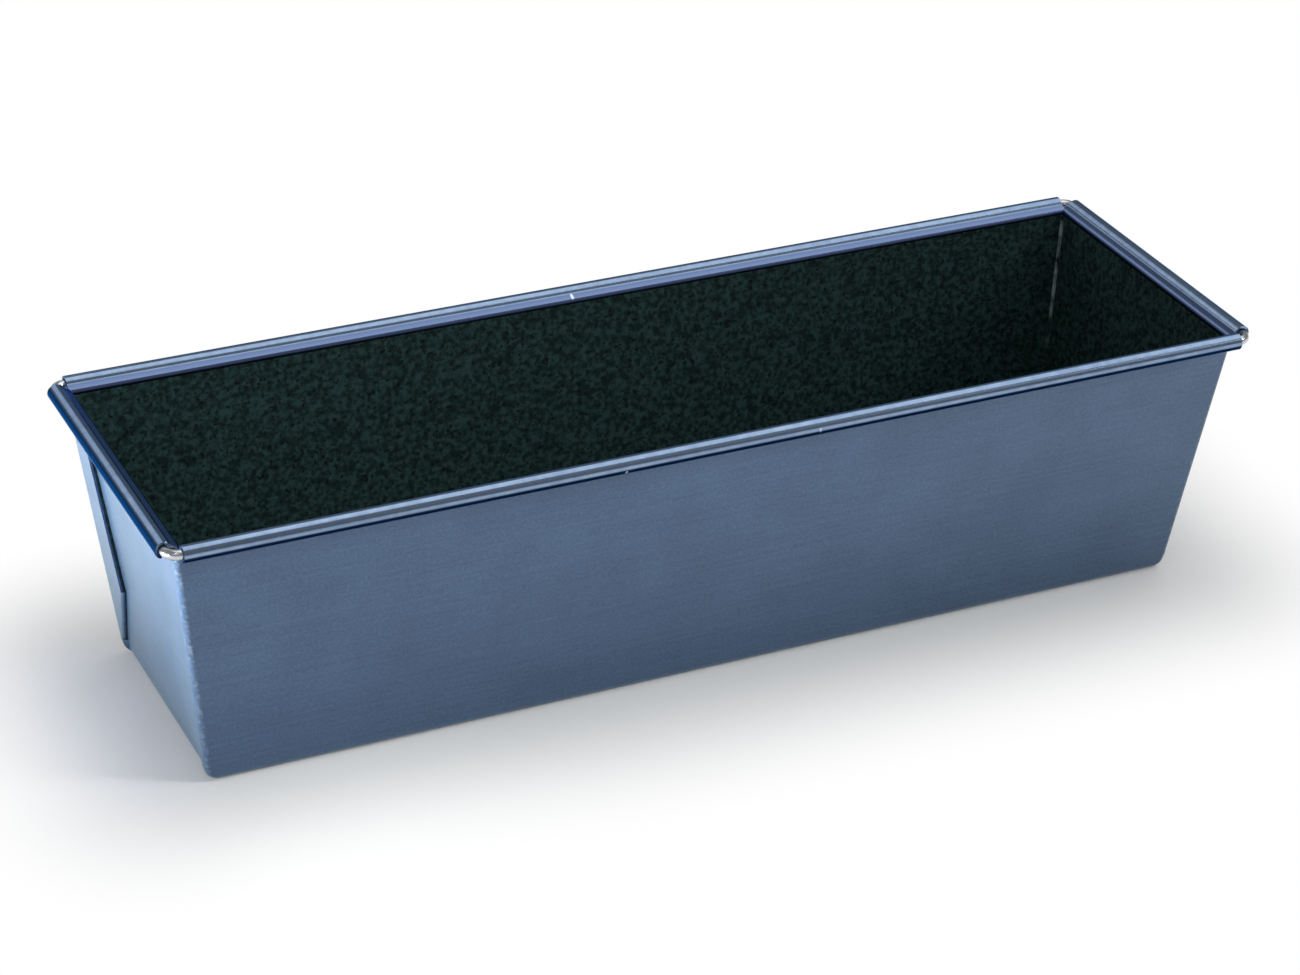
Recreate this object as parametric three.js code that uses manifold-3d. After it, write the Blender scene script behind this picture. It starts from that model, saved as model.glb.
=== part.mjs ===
import * as THREE from "three";
import { mergeVertices } from "three/addons/utils/BufferGeometryUtils.js";
import Module from "manifold-3d";

// Rusk bread pan: one folded steel sheet whose rolled rim is stiffened by two bent wires.
// Millimetres. +Z is up, +X runs along the pan, -Y is the near long side, and the floor rests on z = 0.

const wasm = await Module();
wasm.setup();
const { clamp, degToRad, lerp } = THREE.MathUtils;
const RIGHT_ANGLE = Math.PI / 2;

// Overall size over the rolled rim, and the outward lean of all four walls
const RIM_LENGTH = 300;
const RIM_WIDTH = 97;
const PAN_HEIGHT = 75.5;
const WALL_FLARE = degToRad(7);

// Sheet thickness, the gap between folded layers, and the outside radius where the walls meet the floor
const SHEET = 0.6;
const LAYER_GAP = 0.1;
const BOTTOM_BEND = 2.5;

// Rim wire: its play inside the curl, its corner bends and the two butt joints on the long sides
const WIRE_DIAMETER = 2.6;
const WIRE_PLAY = 0.3;
const WIRE_BEND = 3;
const WIRE_JOINT_NEAR = 21;
const WIRE_JOINT_FAR = -8;
const WIRE_JOINT_GAP = 0.4;

// Rim section: shoulder bend out of the wall, rising ledge, neck, then the curl that wraps the wire
const SHOULDER_BEND = 1.2;
const LEDGE_RISE = degToRad(25);
const LEDGE_RUN = 1.25;
const NECK_BEND = 0.8;
const NECK_TURN = degToRad(35);
const CURL_SWEEP = degToRad(225);
const BEAD_SETBACK = 0.3;

// Corner flaps folded flat on the end walls: width at the floor line and at the rim, the height at which
// the slanting crease meets the trimmed upright edge, and the gap left under the rim
const FLAP_FOOT_WIDTH = 15.9;
const FLAP_RIM_WIDTH = 11.2;
const CREASE_HEIGHT = 24;
const FLAP_SPARE = 2;
const FLAP_TOP_GAP = 0.3;

// The folded corners begin above a pressed toe that swells out of the plain bottom corner
const TOE_START = 0.3;
const TOE_LAYER = 0.4;
const TOE_SLOPE = 0.5;
const TOE_OVERLAP = 0.5;
const FLOOR_CORNER = 0.2;

// Allowances that let neighbouring runs of the sheet grow into one body, and clear it at the corners
const LAP_SKIN = 0.015;
const LAP_LENGTH = 2.5;
const NOTCH_EASE = 0.2;

// Facets: the turn of one facet on a bend, the facets of a tub corner, the sides of the wire,
// and the distance under which two points are one
const FACET_TURN = degToRad(15);
const CORNER_FACETS = 6;
const WIRE_SIDES = 16;
const SAME_POINT = 1e-5;

// Sizes that follow from the driving ones
const BEAD_RADIUS = WIRE_DIAMETER / 2 + WIRE_PLAY + SHEET;
const CURL_RADIUS = BEAD_RADIUS - SHEET / 2;
const BEAD_END = WIRE_BEND + BEAD_SETBACK;
const AXIS_X = RIM_LENGTH / 2 - BEAD_RADIUS;
const AXIS_Y = RIM_WIDTH / 2 - BEAD_RADIUS;
const AXIS_Z = PAN_HEIGHT - BEAD_RADIUS;
const LEAN = Math.tan(WALL_FLARE);

// Sheet and pitch of the folded layers measured level, the fold between two layers,
// and the corner bend that wraps the hem of the end wall
const LEVEL_SHEET = SHEET / Math.cos(WALL_FLARE);
const LEVEL_PITCH = (SHEET + LAYER_GAP) / Math.cos(WALL_FLARE);
const FOLD_BEND = LEVEL_PITCH / 2;
const CORNER_BEND = LEVEL_PITCH + FOLD_BEND;
const CORNER_OUTSIDE = CORNER_BEND + LEVEL_SHEET / 2;
const FLAP_PROUD = CORNER_BEND + FOLD_BEND;

// Middle line of the rim section across a side, seen from the wire's axis: x outward, y up
const RIM_LINE = rimLine();
const WALL_INSET = RIM_LINE[0].point.y * LEAN - RIM_LINE[0].point.x;
const LAP_LEVEL = AXIS_Z + RIM_LINE[0].point.y;
const SHOULDER_LEVEL = AXIS_Z + RIM_LINE[1].point.y;
const FOLD_TOP = SHOULDER_LEVEL - FLAP_TOP_GAP;

// Middle of the end walls and of the long walls at a height
const wallX = (z) => AXIS_X - WALL_INSET + (z - AXIS_Z) * LEAN;
const wallY = (z) => AXIS_Y - WALL_INSET + (z - AXIS_Z) * LEAN;

// Flap width at a height: along the trimmed edge, and along the crease that rises from the bottom corner
const trimWidth = (z) => lerp(FLAP_FOOT_WIDTH, FLAP_RIM_WIDTH, z / AXIS_Z);
const TRIM_SLOPE = (FLAP_RIM_WIDTH - FLAP_FOOT_WIDTH) / AXIS_Z;
const CREASE_SLOPE = trimWidth(CREASE_HEIGHT) / CREASE_HEIGHT;
const KINK_LEVEL = (FLAP_FOOT_WIDTH + FLAP_SPARE) / (CREASE_SLOPE - TRIM_SLOPE);
const TOE_HEIGHT = Math.max(BOTTOM_BEND, (FLAP_PROUD + LEVEL_SHEET + TOE_LAYER) / CREASE_SLOPE);
const flapWidth = (z) => Math.min(CREASE_SLOPE * z, trimWidth(z) + FLAP_SPARE);

// A bent sheet or wire seen along its bends: runs and turns followed from a start point.
// Each mark keeps the point and the direction to its right.
function bendLine(start, heading, moves) {
  const marks = [];
  const at = start.clone();
  let angle = heading;
  const mark = () => {
    const right = new THREE.Vector2(Math.sin(angle), -Math.cos(angle));
    marks.push({ point: at.clone(), right });
  };
  mark();
  for (const { run = 0, turn = 0, radius = 0 } of moves) {
    if (run > 0) {
      at.x += run * Math.cos(angle);
      at.y += run * Math.sin(angle);
      mark();
    }
    const facets = Math.ceil(Math.abs(turn) / FACET_TURN - SAME_POINT);
    const side = Math.sign(turn) * radius;
    for (let i = 0; i < facets; i += 1) {
      const next = angle + turn / facets;
      at.x += side * (Math.sin(next) - Math.sin(angle));
      at.y -= side * (Math.cos(next) - Math.cos(angle));
      angle = next;
      mark();
    }
  }
  return marks;
}

function beside({ point, right }, distance) {
  return point.clone().addScaledVector(right, distance);
}

function rimLine() {
  const wallHeading = RIGHT_ANGLE - WALL_FLARE;
  const marks = bendLine(new THREE.Vector2(), wallHeading, [
    { run: LAP_LENGTH },
    { turn: LEDGE_RISE - wallHeading, radius: SHOULDER_BEND },
    { run: LEDGE_RUN },
    { turn: NECK_TURN, radius: NECK_BEND },
    { turn: -CURL_SWEEP, radius: CURL_RADIUS },
  ]);
  const axis = beside(marks[marks.length - 1], CURL_RADIUS);
  for (const { point } of marks) {
    point.sub(axis);
  }
  return marks;
}

function geometryOf(points, triangles) {
  const flat = points.flatMap((p) => [p.x, p.y, p.z]);
  const geometry = new THREE.BufferGeometry();
  geometry.setAttribute("position", new THREE.Float32BufferAttribute(flat, 3));
  geometry.setIndex(triangles);
  return geometry;
}

function middleOf(points) {
  const sum = points.reduce((total, p) => total.add(p), new THREE.Vector3());
  return sum.divideScalar(points.length);
}

// A closed skin over a stack of rings, each ring running counter-clockwise about the direction of the stack
function loft(rings) {
  const count = rings[0].length;
  const last = (rings.length - 1) * count;
  const foot = rings.length * count;
  const head = foot + 1;
  const triangles = [];
  for (let j = 0; j < count; j += 1) {
    const next = (j + 1) % count;
    for (let ring = 0; ring < last; ring += count) {
      const above = ring + count;
      triangles.push(ring + j, ring + next, above + next, ring + j, above + next, above + j);
    }
    triangles.push(foot, next, j, head, last + j, last + next);
  }
  const ends = [middleOf(rings[0]), middleOf(rings[rings.length - 1])];
  return geometryOf([...rings.flat(), ...ends], triangles);
}

function stack(levels) {
  return loft(levels.map(({ ring, z }) => ring.map((p) => new THREE.Vector3(p.x, p.y, z))));
}

// Four mirrored quarters joined into one loop round the pan, counter-clockwise seen from above
function allRound(quarter, mirror) {
  const back = [...quarter].reverse();
  const quarters = [
    quarter.map((m) => mirror(m, 1, 1)),
    back.map((m) => mirror(m, -1, 1)),
    quarter.map((m) => mirror(m, -1, -1)),
    back.map((m) => mirror(m, 1, -1)),
  ];
  return quarters.flatMap((part) => part.slice(1));
}

function mirrorPoint(p, sx, sy) {
  return new THREE.Vector2(p.x * sx, p.y * sy);
}

function mirrorMark({ point, right }, sx, sy) {
  return { point: mirrorPoint(point, sx, sy), right: mirrorPoint(right, sx, sy) };
}

// Level ring of the tub: straight sides, round corners, and a swelling on the end faces beside each corner
function tubRing(halfX, halfY, corner, swell, width) {
  const edge = Math.max(width, corner + TOE_SLOPE);
  const quarter = [
    new THREE.Vector2(halfX, 0),
    new THREE.Vector2(halfX, halfY - edge - TOE_SLOPE),
    new THREE.Vector2(halfX + swell, halfY - edge),
  ];
  for (let i = 0; i <= CORNER_FACETS; i += 1) {
    const angle = (RIGHT_ANGLE * i) / CORNER_FACETS;
    const x = halfX + swell - corner + corner * Math.cos(angle);
    const y = halfY - corner + corner * Math.sin(angle);
    quarter.push(new THREE.Vector2(x, y));
  }
  quarter.push(new THREE.Vector2(0, halfY));
  return allRound(quarter, mirrorPoint);
}

// One face of the tub: up round the bottom bend, then up the lean of the walls to where the folds begin
function tubFace(radius, widestCorner, skin, top, proud) {
  const levels = [];
  const outX = wallX(0) + LEVEL_SHEET / 2;
  const outY = wallY(0) + LEVEL_SHEET / 2;
  const bendInset = BOTTOM_BEND * LEAN - BOTTOM_BEND / Math.cos(WALL_FLARE);
  const add = (reach, z) => {
    const rise = clamp((z - TOE_START) / (TOE_HEIGHT - TOE_START), 0, 1);
    const swell = proud * Math.sin(rise * RIGHT_ANGLE);
    const corner = Math.min(reach + FLOOR_CORNER, widestCorner);
    const halfX = outX + bendInset + reach;
    const halfY = outY + bendInset + reach;
    levels.push({ ring: tubRing(halfX, halfY, corner, swell, flapWidth(z)), z });
  };
  const sweep = RIGHT_ANGLE - WALL_FLARE;
  const facets = Math.ceil(sweep / FACET_TURN);
  for (let i = 0; i <= facets; i += 1) {
    const angle = (sweep * i) / facets;
    add(radius * Math.sin(angle) + skin * (i / facets), BOTTOM_BEND - radius * Math.cos(angle));
  }
  const bendEnd = levels[levels.length - 1].z;
  const endReach = radius * Math.sin(sweep) + skin;
  for (const z of [TOE_HEIGHT, top]) {
    add(endReach + (z - bendEnd) * LEAN, z);
  }
  return stack(levels);
}

// Level line of the folded walls for one quarter: end wall, hem at the corner, under layer of the flap,
// crease, over layer, then the corner bend into the long wall
function foldedQuarter(z) {
  const layer = flapWidth(z) - FLAP_PROUD - LEVEL_SHEET;
  const overX = wallX(z) + FLAP_PROUD;
  return bendLine(new THREE.Vector2(wallX(z), 0), RIGHT_ANGLE, [
    { run: wallY(z) - CORNER_BEND },
    { turn: -Math.PI, radius: FOLD_BEND },
    { run: layer },
    { turn: Math.PI, radius: FOLD_BEND },
    { run: layer },
    { turn: RIGHT_ANGLE, radius: CORNER_BEND },
    { run: overX - CORNER_BEND },
  ]);
}

function foldedWalls(heights) {
  const points = [];
  const triangles = [];
  const quad = (a, b, c, d) => triangles.push(a, b, c, a, c, d);
  let count = 0;
  for (const z of heights) {
    const loop = allRound(foldedQuarter(z), mirrorMark);
    count = loop.length;
    for (const side of [1, -1]) {
      for (const m of loop) {
        const p = beside(m, (side * LEVEL_SHEET) / 2);
        points.push(new THREE.Vector3(p.x, p.y, z));
      }
    }
  }
  const outer = (level, j) => 2 * level * count + (j % count);
  const inner = (level, j) => outer(level, j) + count;
  const top = heights.length - 1;
  for (let j = 0; j < count; j += 1) {
    for (let level = 0; level < top; level += 1) {
      quad(outer(level, j), outer(level, j + 1), outer(level + 1, j + 1), outer(level + 1, j));
      quad(inner(level, j + 1), inner(level, j), inner(level + 1, j), inner(level + 1, j + 1));
    }
    quad(outer(0, j + 1), outer(0, j), inner(0, j), inner(0, j + 1));
    quad(outer(top, j), outer(top, j + 1), inner(top, j + 1), inner(top, j));
  }
  return geometryOf(points, triangles);
}

// What is trimmed off the flaps of one end: all between the two upright trim lines, clear of the end wall
function flapTrim() {
  const ring = (z) => {
    const near = wallX(z) + FOLD_BEND;
    const far = wallX(z) + 2 * FLAP_PROUD + LEVEL_SHEET;
    const half = wallY(z) + LEVEL_SHEET / 2 - trimWidth(z);
    return [
      new THREE.Vector2(near, -half),
      new THREE.Vector2(far, -half),
      new THREE.Vector2(far, half),
      new THREE.Vector2(near, half),
    ];
  };
  return stack([0, PAN_HEIGHT].map((z) => ({ ring: ring(z), z })));
}

// The rim section run along one side; outward is the side's direction from the middle of the pan.
// The foot of the section is a little thinner, so that it lies inside the wall.
function rimRun(outward, length, axis) {
  const half = (index) => SHEET / 2 - (index === 0 ? 2 * LAP_SKIN : 0);
  const outside = RIM_LINE.map((m, i) => beside(m, half(i)));
  const inside = RIM_LINE.map((m, i) => beside(m, -half(i)));
  const section = new THREE.Shape([...outside, ...inside.reverse()]);
  const geometry = new THREE.ExtrudeGeometry(section, { depth: length, bevelEnabled: false });
  const up = new THREE.Vector3(0, 0, 1);
  const along = outward.clone().cross(up);
  geometry.translate(0, 0, -length / 2);
  geometry.applyMatrix4(new THREE.Matrix4().makeBasis(outward, up, along));
  geometry.translate(outward.x * axis, outward.y * axis, AXIS_Z);
  return geometry;
}

// Relief notch under the rim at one corner, where the feet of two rim runs would pass the folded corner
function cornerNotch(sx, sy) {
  const fromX = wallX(LAP_LEVEL) - LEVEL_SHEET / 2 - NOTCH_EASE;
  const fromY = wallY(LAP_LEVEL) - CORNER_BEND - NOTCH_EASE;
  const height = 2 * (LAP_LENGTH + SHOULDER_BEND);
  const top = SHOULDER_LEVEL + SHOULDER_BEND / 2;
  const box = new THREE.BoxGeometry(AXIS_X - fromX, AXIS_Y - fromY, height);
  box.translate((sx * (fromX + AXIS_X)) / 2, (sy * (fromY + AXIS_Y)) / 2, top - height / 2);
  return box;
}

// One rim wire: along a long side, round an end, and back along the other long side
function rimWire(sx) {
  const from = sx > 0 ? WIRE_JOINT_NEAR : WIRE_JOINT_FAR;
  const to = sx > 0 ? WIRE_JOINT_FAR : WIRE_JOINT_NEAR;
  const start = new THREE.Vector2(from + (sx * WIRE_JOINT_GAP) / 2, -sx * AXIS_Y);
  const heading = sx > 0 ? 0 : Math.PI;
  const bendX = AXIS_X - WIRE_BEND;
  const marks = bendLine(start, heading, [
    { run: bendX - sx * start.x },
    { turn: RIGHT_ANGLE, radius: WIRE_BEND },
    { run: 2 * (AXIS_Y - WIRE_BEND) },
    { turn: RIGHT_ANGLE, radius: WIRE_BEND },
    { run: bendX - sx * to - WIRE_JOINT_GAP / 2 },
  ]);
  const radius = WIRE_DIAMETER / 2;
  const rings = marks.map((m) =>
    Array.from({ length: WIRE_SIDES }, (_, i) => {
      const angle = (2 * Math.PI * i) / WIRE_SIDES;
      const p = beside(m, -radius * Math.cos(angle));
      return new THREE.Vector3(p.x, p.y, AXIS_Z + radius * Math.sin(angle));
    }),
  );
  return loft(rings);
}

function solidOf(geometry) {
  geometry.deleteAttribute("normal");
  geometry.deleteAttribute("uv");
  const merged = mergeVertices(geometry, SAME_POINT);
  const vertProperties = new Float32Array(merged.getAttribute("position").array);
  const triVerts = new Uint32Array(merged.index.array);
  return new wasm.Manifold(new wasm.Mesh({ numProp: 3, vertProperties, triVerts }));
}

function meshOf(name, solid, material) {
  const { vertProperties, triVerts } = solid.getMesh();
  const geometry = new THREE.BufferGeometry();
  geometry.setAttribute("position", new THREE.Float32BufferAttribute(vertProperties, 3));
  geometry.setIndex([...triVerts]);
  geometry.computeVertexNormals();
  const mesh = new THREE.Mesh(geometry, material);
  mesh.name = name;
  return mesh;
}

// Floor with its bends and the foot of the walls
function tub() {
  const top = TOE_HEIGHT + TOE_OVERLAP;
  const proud = FLAP_PROUD - 2 * LAP_SKIN;
  const outside = solidOf(tubFace(BOTTOM_BEND, CORNER_OUTSIDE, LAP_SKIN, top, proud));
  const insideCorner = CORNER_OUTSIDE - LEVEL_SHEET;
  const inside = solidOf(tubFace(BOTTOM_BEND - SHEET, insideCorner, -LAP_SKIN, top + TOE_OVERLAP, 0));
  return outside.subtract(inside);
}

// The four walls, folded at the corners, with the flaps trimmed at both ends
function trimmedWalls() {
  const folded = solidOf(foldedWalls([TOE_HEIGHT, KINK_LEVEL, FOLD_TOP]));
  const trims = [0, Math.PI].map((turn) => solidOf(flapTrim().rotateZ(turn)));
  return trims.reduce((walls, trim) => walls.subtract(trim), folded);
}

// The rolled rim: two runs along the length and two across, notched at the corners
function rim() {
  const lengthwise = 2 * (AXIS_X - BEAD_END);
  const crosswise = 2 * (AXIS_Y - BEAD_END);
  const runs = [1, -1].flatMap((side) => [
    rimRun(new THREE.Vector3(side, 0, 0), crosswise, AXIS_X),
    rimRun(new THREE.Vector3(0, side, 0), lengthwise, AXIS_Y),
  ]);
  const notches = [1, -1].flatMap((side) => [cornerNotch(side, side), cornerNotch(side, -side)]);
  const whole = runs.map(solidOf).reduce((joined, run) => joined.add(run));
  return notches.map(solidOf).reduce((cut, notch) => cut.subtract(notch), whole);
}

const sheetFinish = new THREE.MeshStandardMaterial({ color: 0x64748c, metalness: 0.3, roughness: 0.45 });
const wireFinish = new THREE.MeshStandardMaterial({ color: 0xc9cdd0, metalness: 1, roughness: 0.3 });

const pan = new THREE.Group();
pan.name = "rusk_bread_pan";
pan.add(meshOf("pan_sheet", tub().add(trimmedWalls()).add(rim()), sheetFinish));
pan.add(meshOf("rim_wire_left", solidOf(rimWire(-1)), wireFinish.clone()));
pan.add(meshOf("rim_wire_right", solidOf(rimWire(1)), wireFinish.clone()));

export default pan;
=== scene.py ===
# %% [markdown]
# # A rusk bread pan, dressed in Blender
# This lesson dresses a long narrow bread pan that was first built as plain solids. The pan is one steel
# sheet, folded at the corners and rolled over a wire at the rim. The solids come in as a fixed frame, so
# every new piece only has to be made in the right place, in metres, and nothing has to be fitted by eye.

# %% Load the frame
from math import ceil, cos, pi, radians, sin, tan

import bmesh
import bpy
from mathutils import Matrix, Vector


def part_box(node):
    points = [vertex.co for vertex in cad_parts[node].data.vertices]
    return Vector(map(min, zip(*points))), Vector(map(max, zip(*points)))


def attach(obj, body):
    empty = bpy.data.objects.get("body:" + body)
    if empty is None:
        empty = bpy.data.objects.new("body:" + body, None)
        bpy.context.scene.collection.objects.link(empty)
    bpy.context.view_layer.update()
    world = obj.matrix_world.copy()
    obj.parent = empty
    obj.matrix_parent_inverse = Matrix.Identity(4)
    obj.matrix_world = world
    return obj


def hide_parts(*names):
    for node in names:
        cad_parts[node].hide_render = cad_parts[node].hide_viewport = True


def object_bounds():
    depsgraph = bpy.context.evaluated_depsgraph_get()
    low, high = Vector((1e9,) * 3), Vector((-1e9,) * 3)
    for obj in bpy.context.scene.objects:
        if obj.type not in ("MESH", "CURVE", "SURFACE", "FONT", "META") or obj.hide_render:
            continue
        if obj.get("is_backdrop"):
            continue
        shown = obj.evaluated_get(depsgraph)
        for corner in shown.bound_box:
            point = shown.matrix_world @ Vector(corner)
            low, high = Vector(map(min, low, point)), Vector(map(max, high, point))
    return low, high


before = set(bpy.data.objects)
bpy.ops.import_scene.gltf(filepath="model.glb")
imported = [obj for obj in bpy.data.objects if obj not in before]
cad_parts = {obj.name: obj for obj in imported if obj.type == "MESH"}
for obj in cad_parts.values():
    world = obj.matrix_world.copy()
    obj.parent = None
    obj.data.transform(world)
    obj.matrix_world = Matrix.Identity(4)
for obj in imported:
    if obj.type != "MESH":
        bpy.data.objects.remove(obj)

cad_low, cad_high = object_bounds()
print("solids:", sorted(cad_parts), "box", [round(v, 4) for v in cad_high - cad_low])

# %% [markdown]
# ## The sizes that drive everything
# The outside size and the wire are read from the solids, so they can never drift apart from them. The
# sheet, the lean of the walls and the bends are shop sizes: a press brake bends 0.6 mm sheet round small
# radii, and a wiring machine leaves a little play round the wire. All other sizes are worked out from these.

# %% Driving sizes
MM = 0.001
RIGHT_ANGLE = pi / 2
wire_low, wire_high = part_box("rim_wire_right")
WIRE_DIAMETER = wire_high.z - wire_low.z
AXIS_X = wire_high.x - WIRE_DIAMETER / 2
AXIS_Y = wire_high.y - WIRE_DIAMETER / 2
AXIS_Z = (wire_low.z + wire_high.z) / 2
BEAD_RADIUS = cad_high.z - AXIS_Z
SHEET = 0.6 * MM
WALL_FLARE = radians(7)
LEAN = tan(WALL_FLARE)
print(f"wire {WIRE_DIAMETER / MM:.2f} mm, bead {2 * BEAD_RADIUS / MM:.2f} mm across")

# %% [markdown]
# ## A bent line
# Sheet metal is easiest to think of as a line seen along its bends: run straight, turn round a radius, run
# on. A curve object with bevelled corners could do this, but a short function gives exact bends and also
# tells which way is outward. Next to each bend it adds one more mark on the straight run. Those support
# marks keep the shading of the wide flat walls flat, because smooth normals then only blend beside the bend.

# %% Bend a line
FACET_TURN = radians(7.5)
SUPPORT = 0.25 * MM


def bend_line(start, heading, moves):
    at = Vector(start)
    angle = heading
    marks = []

    def mark(tag=""):
        marks.append({"point": at.copy(), "right": Vector((sin(angle), -cos(angle))), "tag": tag})

    mark()
    for move in moves:
        run = move.get("run", 0)
        support = min(SUPPORT, run / 4)
        for step in (support, run - 2 * support, support) if run else ():
            at += step * Vector((cos(angle), sin(angle)))
            mark()
        turn = move.get("turn", 0)
        facets = ceil(abs(turn) / FACET_TURN - 1e-6)
        facets += (facets + 1) % 2 if "tag" in move else 0
        side = move.get("radius", 0) * (1 if turn > 0 else -1)
        for _ in range(facets):
            last = angle
            angle += turn / facets
            at += side * Vector((sin(angle) - sin(last), cos(last) - cos(angle)))
            mark(move.get("tag", ""))
    return marks


def beside(mark, distance):
    return mark["point"] + distance * mark["right"]


trial = bend_line((0, 0), 0, [{"run": 10 * MM}, {"turn": RIGHT_ANGLE, "radius": 2 * MM}])
last_point = [round(v / MM, 2) for v in trial[-1]["point"]]
print("a run and a bend:", len(trial), "marks, ending at", last_point, "mm")

# %% [markdown]
# ## The section of the wired rim
# At the top the wall bends outward over a shoulder, rises along a short ledge, turns up at a neck and then
# curls out and down round the wire. Stopping the curl at seven o'clock leaves the dark slot that can be seen
# under the rim. The section is followed forward from the wall, and then shifted so that the middle of the
# curl lies on the wire.

# %% Follow the rim section
CURL_RADIUS = BEAD_RADIUS - SHEET / 2
WALL_HEADING = RIGHT_ANGLE - WALL_FLARE
LAP_LENGTH = 0.6 * MM
SHOULDER_BEND = 1.2 * MM
LEDGE_RISE = radians(25)
LEDGE_LENGTH = 1.25 * MM
NECK_BEND = 0.8 * MM
NECK_TURN = radians(35)
CURL_TURN = radians(225)
FOLD_GAP = 0.3 * MM
rim_line = bend_line((0, 0), WALL_HEADING, [
    {"run": LAP_LENGTH},
    {"turn": LEDGE_RISE - WALL_HEADING, "radius": SHOULDER_BEND},
    {"run": LEDGE_LENGTH},
    {"turn": NECK_TURN, "radius": NECK_BEND},
    {"turn": -CURL_TURN, "radius": CURL_RADIUS},
])
wire_seat = beside(rim_line[-1], CURL_RADIUS)
for rim_mark in rim_line:
    rim_mark["point"] -= wire_seat
SHOULDER_LEVEL = AXIS_Z + rim_line[3]["point"].y
FOLD_TOP = SHOULDER_LEVEL - FOLD_GAP
print(f"rim section: {len(rim_line)} marks, the folds stop at {FOLD_TOP / MM:.2f} mm")

# %% Where the walls stand at a height
WALL_INSET = rim_line[0]["point"].y * LEAN - rim_line[0]["point"].x


def wall_x(z):
    return AXIS_X - WALL_INSET + (z - AXIS_Z) * LEAN


def wall_y(z):
    return AXIS_Y - WALL_INSET + (z - AXIS_Z) * LEAN


print(f"floor about {2 * wall_x(0) / MM:.1f} by {2 * wall_y(0) / MM:.1f} mm")

# %% [markdown]
# ## Colours and nodes
# Colours are written as the eye reads them, in sRGB hex, and turned to the linear values that the renderer
# counts with. One small function adds a node, sets it up and links it, so a material reads as a recipe.

# %% Helpers for materials
def linear(hex_colour):
    channels = [int(hex_colour[i:i + 2], 16) / 255 for i in (1, 3, 5)]
    return [c / 12.92 if c <= 0.04045 else ((c + 0.055) / 1.055) ** 2.4 for c in channels] + [1.0]


def add_node(tree, kind, sockets=None, **settings):
    node = tree.nodes.new(kind)
    for name, value in settings.items():
        setattr(node, name, value)
    for socket, value in (sockets or {}).items():
        if isinstance(value, bpy.types.NodeSocket):
            tree.links.new(value, node.inputs[socket])
        else:
            node.inputs[socket].default_value = value
    return node


def new_material(name):
    material = bpy.data.materials.new(name)
    material.use_nodes = True
    material.node_tree.nodes.clear()
    return material, material.node_tree


print("linear value of a mid blue-grey:", [round(c, 3) for c in linear("#546a88")])

# %% [markdown]
# ## Satin enamel on the outside
# The outside carries a thin stoved enamel in blue-grey, with a little metal powder in it and a clear satin
# film on top. It was sprayed on rolled sheet, so faint lines of the rolling run level round the walls, with
# soft clouds of thicker and thinner film and a fine grain. A picture could be wrapped on it, but noise on
# Object coordinates follows the real size at every corner and needs no unwrapping. Stretching a noise along
# the wall turns clouds into rolling lines. The clear film is a coat, and a weak sheen pales the walls that
# are seen at a slant.

# %% Satin blue-grey enamel
# Gives the eye a soft level sheen, a little cloudy, with a pale broken line along the corner bends that is
# partly abrasion of the enamel and partly painted highlight
enamel, tree = new_material("satin_blue_grey_enamel")
place = add_node(tree, "ShaderNodeTexCoord").outputs["Object"]
clouds = add_node(tree, "ShaderNodeTexNoise", {"Vector": place, "Scale": 1 / (16 * MM), "Detail": 3.0})
# Rolling lines are finer than a pixel, so they are drawn 0.9 mm apart to show
rolled = add_node(tree, "ShaderNodeMapping", {
    "Vector": place, "Scale": (1 / (45 * MM), 1 / (45 * MM), 1 / (0.9 * MM)),
})
lines = add_node(tree, "ShaderNodeTexNoise", {"Vector": rolled.outputs[0], "Scale": 1.0, "Detail": 3.0})
# The grit of the film is far finer and is drawn at 0.7 mm to show
grain = add_node(tree, "ShaderNodeTexNoise", {"Vector": place, "Scale": 1 / (0.7 * MM), "Detail": 2.0})
tone = add_node(tree, "ShaderNodeMix", {
    0: 0.45, 2: clouds.outputs[0], 3: lines.outputs[0],
})
tone = add_node(tree, "ShaderNodeMix", {
    0: 0.45, 2: tone.outputs[0], 3: grain.outputs[0],
})
spread = add_node(tree, "ShaderNodeMapRange", {
    "Value": tone.outputs[0], "From Min": 0.36, "From Max": 0.64,
})
colour = add_node(tree, "ShaderNodeMix", {
    0: spread.outputs[0], 6: linear("#2f4e7a"), 7: linear("#4c6d9a"),
}, data_type="RGBA")
# Painted highlight in part: a pale broken line on the corner bends, partly abraded enamel and partly standing
# in for the glint of the bend
corner_mark = add_node(tree, "ShaderNodeAttribute", attribute_name="corner_wear_and_highlight")
scuff_and_glint_breakup = add_node(tree, "ShaderNodeTexNoise", {"Vector": place, "Scale": 1 / (1.1 * MM), "Detail": 5.0})
scuff_and_glint_breakup = add_node(tree, "ShaderNodeMapRange", {
    "Value": scuff_and_glint_breakup.outputs[0], "From Min": 0.5, "From Max": 0.7, "To Max": 0.45,
})
painted_glint_line = add_node(tree, "ShaderNodeMath", {
    0: corner_mark.outputs["Fac"], 1: scuff_and_glint_breakup.outputs[0],
}, operation="MULTIPLY")
colour = add_node(tree, "ShaderNodeMix", {
    0: painted_glint_line.outputs[0], 6: colour.outputs[2], 7: linear("#aab6c4"),
}, data_type="RGBA")
gloss = add_node(tree, "ShaderNodeMapRange", {
    "Value": tone.outputs[0], "From Min": 0.35, "From Max": 0.65, "To Min": 0.42, "To Max": 0.32,
})
peel = add_node(tree, "ShaderNodeBump", {
    "Strength": 0.35, "Distance": 0.05 * MM, "Height": tone.outputs[0],
})
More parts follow.
